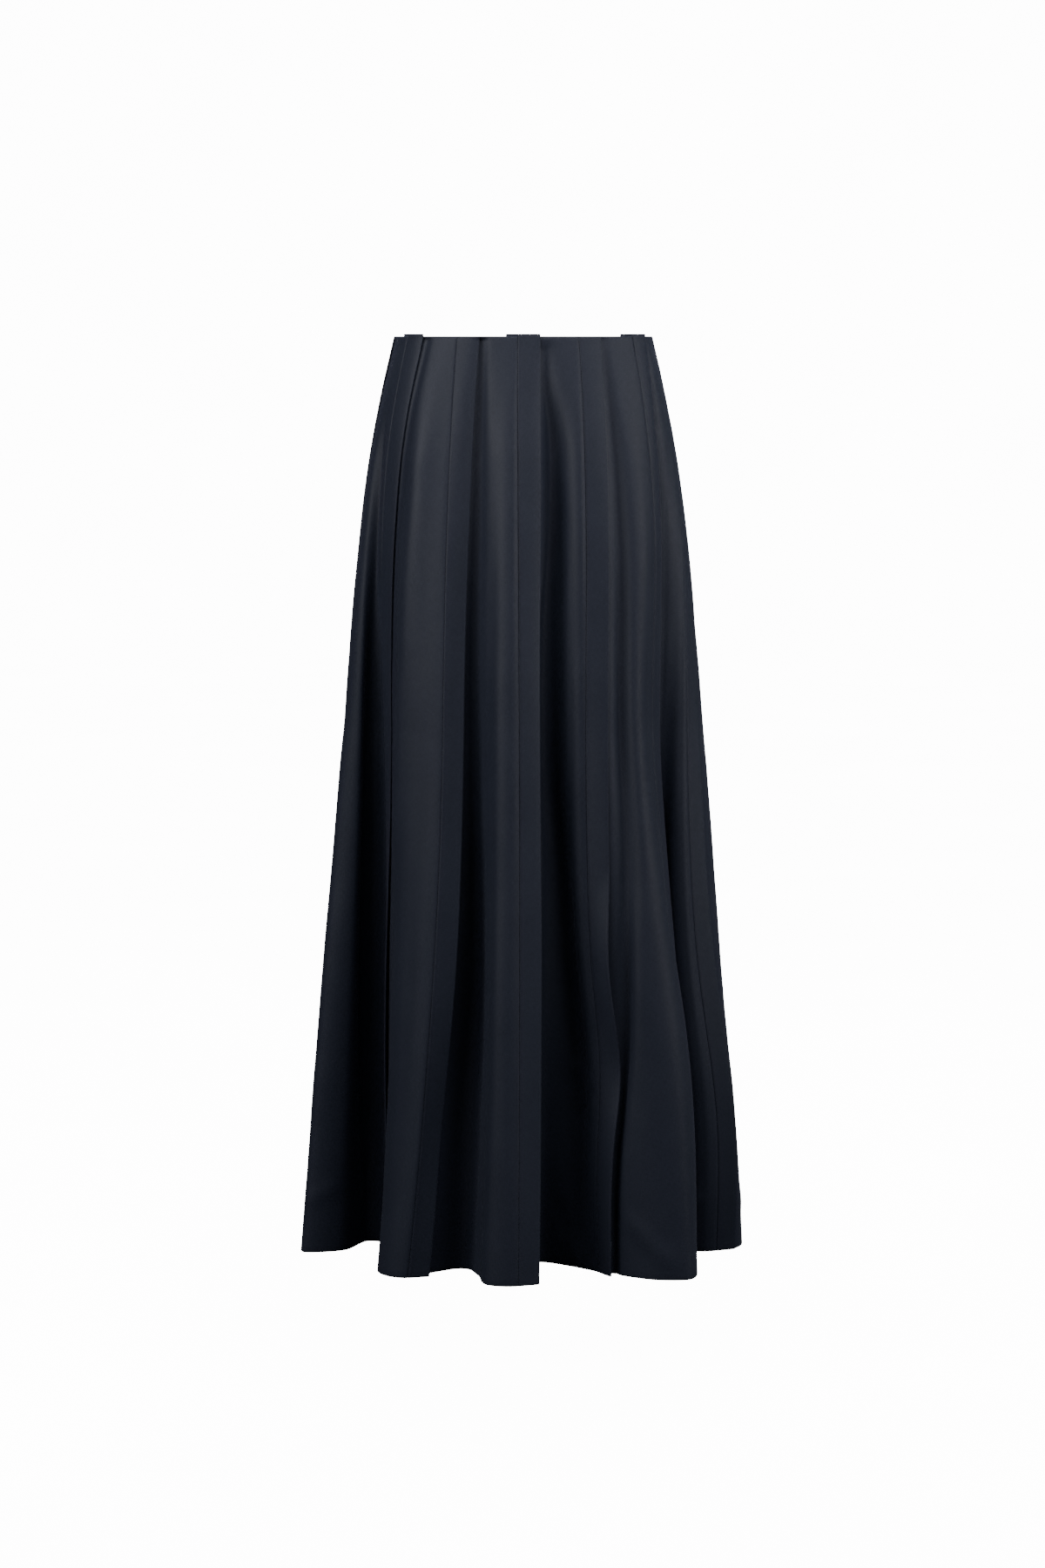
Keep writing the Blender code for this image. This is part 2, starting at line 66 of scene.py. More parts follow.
# The gores, round from the viewer's left. Each has the places of its named lines at the hem, seen from
# above, the angle of its seam halfway down, the way its pleat lies at the hem, and the drop where its
# flute sets in.
GORES = (
    {"name": "right_side", "seam": (-216, 32), "emerge": (-229, -12), "inward": (-231, -50),
     "flute": (-190, -44), "shoulder": (-160, 2), "knee": None, "lay": -106, "top": 150},
    {"name": "front_right_outer", "seam": (-141, -14), "emerge": (-139, -60), "inward": (-146, -110),
     "flute": (-147, -146), "shoulder": (-132, -164), "knee": -68.5, "lay": -82, "top": 90},
    {"name": "front_right", "seam": (-117, -168), "emerge": (-92, -145), "inward": (-62, -132),
     "flute": (-47, -158), "shoulder": (-36, -200), "knee": -25.8, "lay": 14, "top": 40},
    {"name": "centre_front", "seam": (-5, -204), "emerge": (11, -184), "inward": (6, -130),
     "flute": (16, -99), "shoulder": (49, -117), "knee": -1.2, "lay": 20, "top": 40},
    {"name": "front_left", "seam": (76, -143), "emerge": (96, -156), "inward": (137, -178),
     "flute": (167, -175), "shoulder": (174, -138), "knee": 21.9, "lay": -58, "top": 60},
    {"name": "front_left_outer", "seam": (161, -95), "emerge": (146, -46), "inward": (121, 0),
     "flute": (134, 12), "shoulder": (177, -40), "knee": 53, "lay": 103, "top": 60},
    {"name": "left_side", "seam": (196, -44), "emerge": (222, -30), "inward": (229, 6),
     "flute": (186, 36), "shoulder": (208, 60), "knee": 69, "lay": 25, "top": 120},
    {"name": "back_left_outer", "seam": (213, 73), "emerge": (191, 88), "inward": (155, 90),
     "flute": (128, 108), "shoulder": (142, 150), "knee": None, "lay": 115, "top": 90},
    {"name": "back_left", "seam": (122, 172), "emerge": (98, 170), "inward": (78, 138),
     "flute": (50, 134), "shoulder": (38, 188), "knee": None, "lay": 155, "top": 120},
    {"name": "centre_back", "seam": (10, 203), "emerge": (-15, 190), "inward": (-28, 135),
     "flute": (-58, 128), "shoulder": (-80, 186), "knee": None, "lay": 184, "top": 130},
    {"name": "back_right", "seam": (-103, 182), "emerge": (-118, 160), "inward": (-108, 112),
     "flute": (-130, 92), "shoulder": (-172, 130), "knee": None, "lay": 212, "top": 110},
    {"name": "back_right_outer", "seam": (-186, 112), "emerge": (-186, 88), "inward": (-150, 66),
     "flute": (-156, 40), "shoulder": (-204, 58), "knee": None, "lay": 244, "top": 100},
)
PLACES = ("seam", "emerge", "inward", "flute", "shoulder")
COUNT = len(GORES)
CENTRE_FRONT = 3
CENTRE_FRONT_ARC = -5.7
ZIP_SEAM = 9
ZIP_MOUTH = 0.85
ZIP_MOUTH_DROPS = (14.0, 30.0)
ZIP_SPREAD = 0.05
SOFT_START = 0.004
LEAST_GROWTH = 0.2
ANGLE_STEP = 0.01

# Where a pleat turns as it falls, and where a flute swings to one side or forward.
FLUTTERS = (
    {"gore": 1, "drop": 640.0, "spread": 270.0, "turn": -20.0},
    {"gore": 2, "drop": 790.0, "spread": 110.0, "turn": 20.0},
    {"gore": 4, "drop": 742.0, "spread": 45.0, "turn": 16.0},
    {"gore": 4, "drop": 625.0, "spread": 60.0, "turn": -11.0},
    {"gore": 4, "drop": 440.0, "spread": 120.0, "turn": 16.0},
)
SWINGS = (
    {"place": 4.85, "drop": 770.0, "spread": 150.0, "gores": 0.45, "shift": (13.0, 0.0)},
    {"place": 4.85, "drop": 390.0, "spread": 130.0, "gores": 0.45, "shift": (-9.0, 0.0)},
    {"place": 4.0, "drop": 735.0, "spread": 90.0, "gores": 0.35, "shift": (8.0, 0.0)},
    {"place": 5.95, "drop": 810.0, "spread": 140.0, "gores": 0.3, "shift": (15.0, 0.0)},
    {"place": 1.9, "drop": 330.0, "spread": 160.0, "gores": 0.4, "shift": (-2.0, 0.0)},
    {"place": 1.0, "drop": 560.0, "spread": 240.0, "gores": 0.22, "shift": (7.0, 7.0)},
    {"place": 5.58, "drop": 400.0, "spread": 230.0, "gores": 0.2, "shift": (0.0, -15.0)},
    {"place": 5.72, "drop": 680.0, "spread": 330.0, "gores": 0.17, "shift": (-16.0, -17.0)},
)

# The deep troughs. Beside the free edge of its pleat each gore dips under the edge, then rolls out again.
# Each row gives the drop, the share of the gore's width, half the trough's width, and its depth (a swell
# where negative).
TROUGHS = {
    0: (
        ((60, 0.80, 8, 0), (120, 0.79, 10, 5), (210, 0.80, 11, 9), (300, 0.86, 13, 12), (450, 0.86, 14, 13),
         (650, 0.86, 16, 12), (850, 0.88, 16, 8), (935, 0.89, 14, 0)),
    ),
    1: (
        ((2, 0.43, 6, 2.5), (30, 0.40, 6, 3), (70, 0.36, 6, 2.5), (170, 0.29, 7, 2), (250, 0.23, 7, 1.5),
         (340, 0.19, 8, 0)),
        ((150, 0.45, 12, 0), (300, 0.45, 14, -5), (450, 0.45, 14, -8), (600, 0.43, 14, -5),
         (740, 0.42, 12, 0)),
    ),
    2: (
        ((2, 0.40, 6, 3), (50, 0.39, 8, 7), (150, 0.365, 11, 10), (330, 0.28, 14, 14), (450, 0.285, 15, 15),
         (650, 0.34, 19, 16), (830, 0.36, 20, 11), (947, 0.38, 20, 4)),
    ),
    3: (
        ((10, 0.46, 8, 2), (50, 0.47, 9, 7), (100, 0.56, 10, 13), (150, 0.59, 9, 17),
         (330, 0.585, 9, 18), (450, 0.625, 9, 17), (540, 0.70, 10, 15), (720, 0.79, 14, 12),
         (850, 0.82, 15, 6), (935, 0.85, 15, 0)),
    ),
    4: (
        ((2, 0.42, 6, 1), (50, 0.41, 7, 3), (120, 0.43, 9, 6), (200, 0.44, 10, 9), (330, 0.42, 11, 12),
         (450, 0.39, 11, 13.5), (540, 0.35, 11, 13.5), (630, 0.28, 10, 12.5), (720, 0.19, 9, 11.5),
         (810, 0.135, 7, 9), (947, 0.105, 6, 4)),
    ),
    5: (
        ((2, 0.42, 6, 1), (60, 0.36, 6, 5), (150, 0.33, 7, 7), (250, 0.33, 8, 7), (340, 0.33, 8, 5),
         (440, 0.32, 8, 0)),
        ((400, 0.82, 18, 0), (520, 0.82, 22, -4), (640, 0.82, 25, -7), (800, 0.84, 26, -9),
         (947, 0.86, 25, -6)),
    ),
    6: (
        ((2, 0.42, 6, 2), (60, 0.37, 6, 6), (160, 0.33, 7, 8), (300, 0.29, 8, 7), (460, 0.26, 9, 0)),
    ),
    7: (
        ((2, 0.41, 6, 2), (70, 0.37, 7, 7), (240, 0.34, 9, 11), (480, 0.31, 13, 12), (700, 0.30, 15, 8),
         (880, 0.31, 15, 0)),
    ),
    8: (
        ((2, 0.42, 6, 1), (60, 0.38, 7, 6), (180, 0.35, 8, 9), (360, 0.30, 9, 8), (520, 0.27, 10, 0)),
        ((180, 0.60, 9, 0), (320, 0.63, 9, 7), (520, 0.68, 10, 8), (760, 0.72, 12, 0)),
    ),
    9: (
        ((2, 0.42, 6, 1), (60, 0.38, 6, 5), (180, 0.35, 8, 9), (400, 0.31, 11, 11), (650, 0.29, 14, 8),
         (850, 0.29, 14, 0)),
    ),
    10: (
        ((2, 0.41, 6, 2), (70, 0.37, 7, 7), (220, 0.33, 8, 10), (420, 0.31, 12, 12), (640, 0.30, 14, 9),
         (860, 0.30, 14, 0)),
    ),
    11: (
        ((2, 0.42, 6, 2), (60, 0.37, 6, 6), (190, 0.33, 8, 9), (380, 0.29, 10, 9), (560, 0.27, 11, 0)),
        ((240, 0.70, 9, 0), (400, 0.72, 10, 7), (620, 0.76, 12, 7), (840, 0.80, 13, 0)),
    ),
}
# How far each gore rolls out between its troughs: place along its width, half the width, and by how much.
# A roll sets in below the waist and fades toward the hem.
ROLLS = {
    0: ((0.45, 24, 2.0),), 1: ((0.60, 17, 7.0),), 2: ((0.88, 15, 3.5),),
    3: ((0.90, 10, 3.0), (0.25, 12, 2.0)), 4: ((0.72, 16, 2.5),), 5: ((0.90, 12, 1.5),),
    6: ((0.60, 20, 3.5),), 7: ((0.66, 20, 4.0),), 8: ((0.50, 16, 3.0),),
    9: ((0.66, 20, 3.5),), 10: ((0.64, 20, 4.0),), 11: ((0.54, 18, 3.5),),
}
ROLL_SETS_IN = 120.0
ROLL_FADES = 300.0
ROLL_AT_HEM = 40.0

# The small creases: the gore, from and to as shares of its width and drops, how wide, and how far out
# (in, where negative).
CREASES = (
    (0, 0.42, 893, 0.56, 878, 8, 0.9),
    (0, 0.30, 180, 0.36, 420, 16, -1.2),
    (0, 0.50, 560, 0.46, 800, 14, 1.3),
    (1, 0.62, 90, 0.60, 330, 15, 1.0),
    (1, 0.80, 600, 0.86, 860, 12, -1.2),
    (2, 0.70, 300, 0.66, 560, 13, 1.0),
    (3, 0.77, 735, 0.92, 775, 7, 1.5),
    (3, 0.80, 795, 0.95, 760, 6, -1.4),
    (3, 0.72, 880, 0.78, 930, 5, -1.3),
    (3, 0.76, 915, 0.84, 938, 7, 1.2),
    (4, 0.22, 886, 0.46, 932, 9, 1.2),
    (4, 0.34, 420, 0.40, 700, 14, 1.0),
    (5, 0.40, 150, 0.48, 300, 10, -1.2),
    (5, 0.84, 900, 0.93, 888, 6, 0.9),
    (5, 0.30, 84, 0.48, 96, 6, -0.6),
    (6, 0.32, 300, 0.38, 640, 16, 1.4),
    (6, 0.60, 200, 0.58, 430, 12, -1.3),
    (6, 0.28, 905, 0.40, 880, 8, 0.9),
    (7, 0.52, 120, 0.50, 420, 14, -1.2),
    (7, 0.60, 700, 0.68, 760, 8, 1.3),
    (7, 0.74, 800, 0.64, 880, 9, -1.0),
    (8, 0.42, 100, 0.45, 380, 13, 1.1),
    (8, 0.74, 860, 0.66, 890, 8, -1.2),
    (8, 0.40, 915, 0.52, 890, 7, 0.9),
    (9, 0.68, 90, 0.72, 300, 12, -1.2),
    (9, 0.80, 350, 0.78, 620, 14, 1.0),
    (9, 0.50, 850, 0.60, 905, 8, 1.1),
    (10, 0.66, 720, 0.78, 690, 8, 1.2),
    (10, 0.60, 820, 0.66, 930, 10, -1.1),
    (11, 0.54, 560, 0.52, 800, 12, 1.2),
    (11, 0.70, 890, 0.82, 915, 7, 1.0),
)


def eased(start, leaving, end, arriving, t):
    """The smooth way from one value to the next, with the slopes that it leaves and arrives with."""
    return (
        start * (1 + 2 * t) * (1 - t) ** 2
        + leaving * t * (1 - t) ** 2
        + end * t * t * (3 - 2 * t)
        + arriving * t * t * (t - 1)
    )


def through(places, values, at):
    """A smooth curve through the values at those places, read at one place or at several."""
    x, y = np.asarray(places, float), np.asarray(values, float)
    slopes = np.gradient(y, x)
    at = np.asarray(at, float)
    i = np.clip(np.searchsorted(x, at, side="right") - 1, 0, len(x) - 2)
    width = x[i + 1] - x[i]
    return eased(y[i], slopes[i] * width, y[i + 1], slopes[i + 1] * width, (at - x[i]) / width)


def run_along(points):
    """How far along a line each of its points is."""
    return np.concatenate([[0], np.cumsum(np.linalg.norm(np.diff(points, axis=0), axis=1))])


def at_distance(distance, along, values):
    """The point of a line, or its direction, at a distance along it."""
    return np.array([np.interp(distance, along, values[:, k]) for k in (0, 1)])


def bell(away):
    return np.exp(-away * away)


def on_form(angle, share, drop):
    """A point at an angle from the front, at a share of the reach of the form under the cloth."""
    power = SQUARENESS[0] + (SQUARENESS[1] - SQUARENESS[0]) * min(1.0, drop / OVAL_FROM)
    share = share / (np.abs(np.sin(angle)) ** power + np.abs(np.cos(angle)) ** power) ** (1 / power)
    side, front, back = (through(SECTIONS["drop"], SECTIONS[k], drop) for k in ("side", "front", "back"))
    depth = (front + back) / 2 + (front - back) / 2 * np.cos(angle)
    return np.array([side * share * np.sin(angle), -depth * share * np.cos(angle)])


def waist_angles(arcs):
    """The angles at those distances round the waist from its centre front, and the whole way round."""
    angles = np.linspace(-math.pi, math.pi, WAIST_STEPS + 1)
    along = run_along(on_form(angles, 1.0, 0.0).T)
    whole = along[-1]
    along -= np.interp(0.0, angles, along)
    turns = np.floor((np.asarray(arcs) + whole / 2) / whole)
    return np.interp(np.asarray(arcs) - turns * whole, along, angles) + turns * 2 * math.pi, whole


def unwound(angle, near):
    """The same angle, less the full turns between it and another."""
    return angle + 2 * math.pi * round((near - angle) / (2 * math.pi))


def direction(angle):
    return np.array([math.cos(angle), math.sin(angle)])


def inward_of(heading):
    return np.array([-heading[1], heading[0]])


def named_lines():
    """The angles of each gore's named lines at the waist, the knee and the hem, with their reach at the
    hem and their places across the gore."""
    hem_side, hem_front = SECTIONS["side"][-1], SECTIONS["front"][-1]
    _, waist = waist_angles(0.0)
    lines = []
    for i, gore in enumerate(GORES):
        after = GORES[(i + 1) % COUNT]
        places = np.array([gore[p] for p in PLACES] + [after["seam"]], float)
        shares = run_along(places)
        shares = shares / shares[-1]
        at_waist, _ = waist_angles(CENTRE_FRONT_ARC + (i - CENTRE_FRONT + shares) * waist / COUNT)
        x, y = places[:, 0] / hem_side, -places[:, 1] / hem_front
        at_hem = [unwound(math.atan2(a, b), w) for a, b, w in zip(x, y, at_waist)]
        lines.append({"waist": at_waist, "hem": np.array(at_hem), "share": np.hypot(x, y), "width": shares})
    for i, gore in enumerate(GORES):
        after = (i + 1) % COUNT
        shifts = []
        for row, own in ((gore, lines[i]), (GORES[after], lines[after])):
            mean = (own["waist"][0] + own["hem"][0]) / 2
            shifts.append(0.0 if row["knee"] is None else math.radians(row["knee"]) - mean)
        mean = (lines[i]["waist"] + lines[i]["hem"]) / 2
        lines[i]["knee"] = mean + shifts[0] + (shifts[1] - shifts[0]) * lines[i]["width"]
    return lines


LINES = named_lines()


def growth(gore, drop):
    """How much of its depth at the hem a flute has at a level. It sets in softly."""
    t = (drop - gore["top"]) / (LENGTH - gore["top"])
    return (t + math.sqrt(t * t + SOFT_START)) / 2


def line_point(i, j, drop):
    """A named line's point at a level, and its angle, on a curve through the waist, the knee and the hem."""
    line, down = LINES[i], drop / LENGTH
    waist, knee, hem = line["waist"][j], line["knee"][j], line["hem"][j]
    angle = waist * (1 - down) * (1 - 2 * down) + knee * 4 * down * (1 - down) + hem * down * (2 * down - 1)
    own, after = growth(GORES[i], drop), growth(GORES[(i + 1) % COUNT], drop)
    grown = own + (after - own) * max(0.0, line["width"][j] - 0.5) * 2
    point = on_form(angle, 1 + (line["share"][j] - 1) * grown, drop)
    for swing in SWINGS:
        across = (i + line["width"][j] - swing["place"] + COUNT / 2) % COUNT - COUNT / 2
        down_by = (drop - swing["drop"]) / swing["spread"]
        point = point + bell(down_by) * bell(across / swing["gores"]) * np.array(swing["shift"])
    return point, angle


def form_heading(angle, drop):
    """Which way the form runs at an angle."""
    ahead = on_form(angle + ANGLE_STEP, 1.0, drop) - on_form(angle, 1.0, drop)
    return math.atan2(ahead[1], ahead[0])


@lru_cache(maxsize=None)
def seam_at(i, drop):
    """The seam's point at a level, and the heading of its pleat."""
    point, angle = line_point(i, 0, drop)
    grown = growth(GORES[i], drop)
    at_hem = form_heading(LINES[i]["hem"][0], LENGTH)
    turn = unwound(math.radians(GORES[i]["lay"]), at_hem) - at_hem
    for flutter in FLUTTERS:
        if flutter["gore"] == i:
            away = (drop - flutter["drop"]) / flutter["spread"]
            turn += math.radians(flutter["turn"]) * bell(away) / max(grown, LEAST_GROWTH)
    return point, direction(form_heading(angle, drop) + turn * grown)


def zip_gap(i, drop):
    """How far each side of a seam stands back from it, where the zip's slider sits."""
    return float(np.interp(drop, ZIP_MOUTH_DROPS, (ZIP_MOUTH, 0.0))) if i == ZIP_SEAM else 0.0


# How finely a gore is laid out between its named lines, and how close the last points come to the seam.
GORE_STEPS = 9
NEAR_SEAM = (-2.4, -1.3, -0.7, -0.3, 0.0)
SEAM_ROOM = 3.4
ZIP_SET_BACK = 1.6
LEAST_UNDERLAP = 0.2


@lru_cache(maxsize=None)
def gore_line(i, drop):
    """The middle line of a gore, from under its own pleat to the next seam, with each point's share of
    the gore's width."""
    seam, heading = seam_at(i, drop)
    next_seam, next_heading = seam_at((i + 1) % COUNT, drop)
    set_back = zip_gap(i, drop) * ZIP_SET_BACK
    knots = [seam + inward_of(heading) * TUCK_DEPTH + heading * set_back]
    shares = [0.0]
    for j in range(1, len(PLACES)):
        point, _ = line_point(i, j, drop)
        inset = TUCK_DEPTH * (1 - LINES[i]["width"][j])
        knots.append(point * (1 - inset / np.linalg.norm(point)))
        shares.append(LINES[i]["width"][j])
    knots.append(next_seam - next_heading * zip_gap((i + 1) % COUNT, drop))
    shares.append(1.0)
    knots = np.array(knots)
    gaps = np.diff(run_along(knots))
    slopes = np.gradient(knots, run_along(knots), axis=0)
    slopes[0], slopes[-1] = heading, next_heading
    points, at = [knots[0] - heading * max(LEAST_UNDERLAP, SEAM_UNDERLAP - set_back)], [0.0]
    for k, gap in enumerate(gaps):
        steps = [s / GORE_STEPS for s in range(GORE_STEPS)]
        if k == len(gaps) - 1:
            spaced = [s for s in steps if gap * (1 - s) > SEAM_ROOM]
            close = [1 + away / gap for away in NEAR_SEAM]
            missing = GORE_STEPS - len(spaced)
            apart = (close[0] - spaced[-1]) / (missing + 1)
            steps = spaced + [spaced[-1] + apart * (n + 1) for n in range(missing)] + close
        for t in steps:
            points.append(eased(knots[k], slopes[k] * gap, knots[k + 1], slopes[k + 1] * gap, t))
            at.append(shares[k] + (shares[k + 1] - shares[k]) * t)
    return np.array(points), np.array(at)


def normals_in(points):
    ahead = np.gradient(points, axis=0)
    ahead /= np.linalg.norm(ahead, axis=1)[:, None]
    return np.stack([-ahead[:, 1], ahead[:, 0]], axis=1)


def troughs_at(i, shares, width, drop):
    """How far each point of the gore's line stands in its troughs (below zero) or on its roll."""
    out = np.zeros(len(shares))
    for trough in TROUGHS[i]:
        drops, places, halves, depths = zip(*trough)
        if drops[0] <= drop <= drops[-1]:
            place, half, depth = (float(through(drops, v, drop)) for v in (places, halves, depths))
            out -= depth * bell((shares - place) * width / half)
    rise = min(1.0, drop / ROLL_SETS_IN) * min(1.0, (LENGTH + ROLL_AT_HEM - drop) / ROLL_FADES)
    for place, half, height in ROLLS[i]:
        out += height * rise * bell((shares - place) * width / half)
    return out


# How the small creases end, and how the cloth's faint unevenness runs: its waves each millimetre across
# and down, how far apart two gores read it, and its height. Both lie flatter near the waist and the seams.
CREASE_FULL = 0.3
CREASE_TAPER = 2.2
UNEVENNESS = (
    {"across": 0.021, "down": 0.009, "apart": 1, "height": 0.75},
    {"across": 0.07, "down": 0.03, "apart": 7, "height": 0.16},
)
WAIST_CALM = (0.15, 60.0)
SEAM_CALM = (0.06, 0.05)


@lru_cache(maxsize=None)
def creased(i, drop, deep):
    """The gore's line with its small creases and a faint unevenness worked in, and its troughs where deep."""
    points, shares = gore_line(i, drop)
    width = run_along(points)[-1]
    out = np.zeros(len(points))
    for gore, share0, drop0, share1, drop1, wide, depth in CREASES:
        if gore != i:
            continue
        start, run = np.array([share0 * width, drop0]), np.array([(share1 - share0) * width, drop1 - drop0])
        length = np.linalg.norm(run)
        away = np.stack([shares * width - start[0], np.full(len(points), drop - start[1])], axis=1)
        t = away @ run / (length * length)
        side = (away[:, 0] * run[1] - away[:, 1] * run[0]) / length
        past = np.maximum(0, np.abs(t - 0.5) - CREASE_FULL) * length / ((0.5 - CREASE_FULL) * length + wide)
        out += depth * bell(side / wide) * np.exp(-past * past * CREASE_TAPER)
    for k, (x, y) in enumerate(points):
        for wave in UNEVENNESS:
            place = (x * wave["across"], y * wave["across"], drop * wave["down"] + wave["apart"] * i)
            out[k] += wave["height"] * noise.noise(Vector(place))
    out *= min(1.0, WAIST_CALM[0] + drop / WAIST_CALM[1])
    if deep:
        out += troughs_at(i, shares, width, drop)
    fade = np.clip(shares / SEAM_CALM[0], 0, 1) * np.clip((1 - shares) / SEAM_CALM[1], 0, 1)
    return points - normals_in(points) * (out * fade)[:, None]


# The pleat's cross-section, from its seam: points on its outer layer, turns of its fold in degrees, and
# points on the layer beneath. High up it dips with the gore that it lies on; lower it stands straight.
PLEAT_STEPS = (0.3, 0.7, 1.3, 2.4, 6.0, 10.0, 14.0, 18.0, 20.6, 21.9)
FOLD_TURNS = (0, 36, 72, 108, 144, 180)
UNDER_STEPS = (20.0, 15.0, 10.0, 5.0, 1.0)
EDGE_DIP = 0.6
STANDS_FREE = 1.6
REST_SOFTNESS = 0.4
SEWN_DOWN = 3.0
LOOK = 2.0


def pleat_layer(i, drop):
    """The outer layer of a pleat from its seam to the fold, and the direction outwards at each point."""
    seam, heading = seam_at(i, drop)
    plain, dipped = creased(i, drop, False)[1:], creased(i, drop, True)[1:]
    below = plain + (dipped - plain) * EDGE_DIP
    along = run_along(below)
    follow = max(0.0, 1 - STANDS_FREE * growth(GORES[i], drop))
    gap = zip_gap(i, drop)
    points = []
    for across in (0.0,) + PLEAT_STEPS:
        across = max(across, gap * (1 + across * ZIP_SPREAD))
        run = at_distance(across + LOOK, along, below) - at_distance(max(0.0, across - LOOK), along, below)
        lifted = at_distance(across, along, below) - inward_of(run / np.linalg.norm(run)) * TUCK_DEPTH
        straight = seam + heading * across
        falls_in = np.dot(lifted - straight, inward_of(heading))
        soft = 1 / (1 + math.exp(-falls_in / REST_SOFTNESS))
        share = (follow * soft + 1 - soft) * min(1.0, across / SEWN_DOWN)
        points.append(straight + (lifted - straight) * share)
    points = np.array(points)
    return points, -normals_in(points)


PLEAT_INSET = 0.35
GROOVE_HALF = 0.55


def panel_row(i, drop, inset):
    """One row of a panel: its gore, the pleat's outer layer, the fold, and the layer beneath. inset
    moves the row in, for the turned waist edge and hem."""
    gore = creased(i, drop, True)
    gore = gore + normals_in(gore) * inset
    pleat, out = pleat_layer((i + 1) % COUNT, drop)
    pleat = pleat - out * inset * PLEAT_INSET
    outer, end_out = pleat[1:], out[-1]
    end_heading = (outer[-1] - outer[-2]) / np.linalg.norm(outer[-1] - outer[-2])
    fold = [
        outer[-1] + (end_heading * math.sin(turn) - end_out * (1 - math.cos(turn))) * FOLD_RADIUS
        for turn in map(math.radians, FOLD_TURNS)
    ]
    along = run_along(pleat)
    under = [
        at_distance(across, along, pleat) - at_distance(across, along, out) * 2 * FOLD_RADIUS
        for across in UNDER_STEPS
    ]
    line = np.concatenate([gore, outer, fold, under])
    seam_column = len(gore) - 1
    across = run_along(line)
    groove = SEAM_GROOVE * bell((across - across[seam_column]) / GROOVE_HALF)
    return line + normals_in(line) * groove[:, None], across, seam_column


# The panel's rows. They run from the turned edge inside the waist, over it, down the outside, round the
# hem and up inside it. A turned row has its distance from the edge, and its share of the turning.
WAIST_ROWS = (
    (15.0, 1.0), (8.0, 1.0), (2.6, 1.0), (0.9, 0.92), (0.3, 0.5), (0.8, 0.08), (2.2, 0.0), (5.0, 0.0),
)
HEM_ROWS = (
    (2.0, 0.0), (0.8, 0.08), (0.3, 0.5), (0.9, 0.92), (2.6, 1.0), (12.0, 1.0), (24.0, 1.0), (36.0, 1.0),
)
ROW_STEP = 5.4
ROWS = list(WAIST_ROWS)
ROWS += [(drop, 0.0) for drop in np.arange(10.0, LENGTH - 4.0, ROW_STEP)]
ROWS += [(LENGTH - up, part) for up, part in HEM_ROWS]
WAIST_TURNING = 14.0
RAISED_ACROSS = 0.9
RAISED_DOWN = 16.0
MM = 0.001


def panel_grid(i):
    """The panel's points in metres, and its flat pattern: across from its middle, and down."""
    raised = RAISED_TOP if (i + 1) % COUNT % 2 else 0.0
    places, pattern = [], []
    run = -WAIST_TURNING
    for drop, part in ROWS:
        line, across, seam_column = panel_row(i, drop, part * TURN_IN)
        past_seam = np.clip((across - across[seam_column]) / RAISED_ACROSS, 0, 1)
        z = past_seam * raised * max(0.0, 1 - drop / RAISED_DOWN) - drop
        places.append(np.column_stack([line, z]) * MM)
        if pattern:
            run += float(np.median(np.linalg.norm(places[-1] - places[-2], axis=1))) / MM
        pattern.append(np.column_stack([across - across[seam_column] / 2, np.full(len(line), -run)]) * MM)
    return np.array(places), np.array(pattern)


def cloth_sheet(name, places, pattern):
    """A grid laid out at the panel's own points, with its flat pattern as its UV map and its thickness."""
    rows, columns = places.shape[:2]
    bpy.ops.object.select_all(action="DESELECT")
    bpy.ops.mesh.primitive_grid_add(x_subdivisions=columns - 1, y_subdivisions=rows - 1, size=1)
    sheet = bpy.context.object
    sheet.name = sheet.data.name = name
    mesh = sheet.data
    mesh.vertices.foreach_set("co", places[::-1].reshape(-1).astype(np.float32))
    corner_of = np.empty(len(mesh.loops), np.int32)
    mesh.loops.foreach_get("vertex_index", corner_of)
    flat = pattern[::-1].reshape(-1, 2)[corner_of]
    mesh.uv_layers[0].data.foreach_set("uv", flat.reshape(-1).astype(np.float32))
    mesh.uv_layers[0].name = "pattern"
    mesh.update()
    shell = sheet.modifiers.new("thickness", "SOLIDIFY")
    shell.thickness, shell.offset = CLOTH * MM, 0.0
    bpy.ops.object.modifier_apply(modifier=shell.name)
    sheet.data.materials.clear()
    sheet.data.shade_smooth()
    return sheet


def new_material(name):
    material = bpy.data.materials.new(name)
    material.use_nodes = True
    return material, material.node_tree, material.node_tree.nodes["Principled BSDF"]


def added(tree, kind, **settings):
    """A new node, with its inputs or its own settings set."""
    node = tree.nodes.new(kind)
    for key, value in settings.items():
        if key in node.inputs:
            node.inputs[key].default_value = value
        else:
            setattr(node, key, value)
    return node


def scaled(tree, place, scale):
    node = added(tree, "ShaderNodeMapping", Scale=scale)
    tree.links.new(place, node.inputs["Vector"])
    return node.outputs["Vector"]


def grain(tree, place, scale=1.0, detail=2.0, roughness=0.5):
    node = added(tree, "ShaderNodeTexNoise", Scale=scale, Detail=detail, Roughness=roughness)
    tree.links.new(place, node.inputs["Vector"])
    return node.outputs["Fac"]


def bands(tree, place, way, distortion):
    node = added(
        tree, "ShaderNodeTexWave", wave_type="BANDS", bands_direction=way, Scale=1.0, Distortion=distortion
    )
    tree.links.new(place, node.inputs["Vector"])
    return node.outputs["Fac"]


def combined(tree, operation, first, second):
    node = added(tree, "ShaderNodeMath", operation=operation)
    for socket, value in zip(node.inputs, (first, second)):
        if isinstance(value, float):
            socket.default_value = value
        else:
            tree.links.new(value, socket)
    return node.outputs[0]


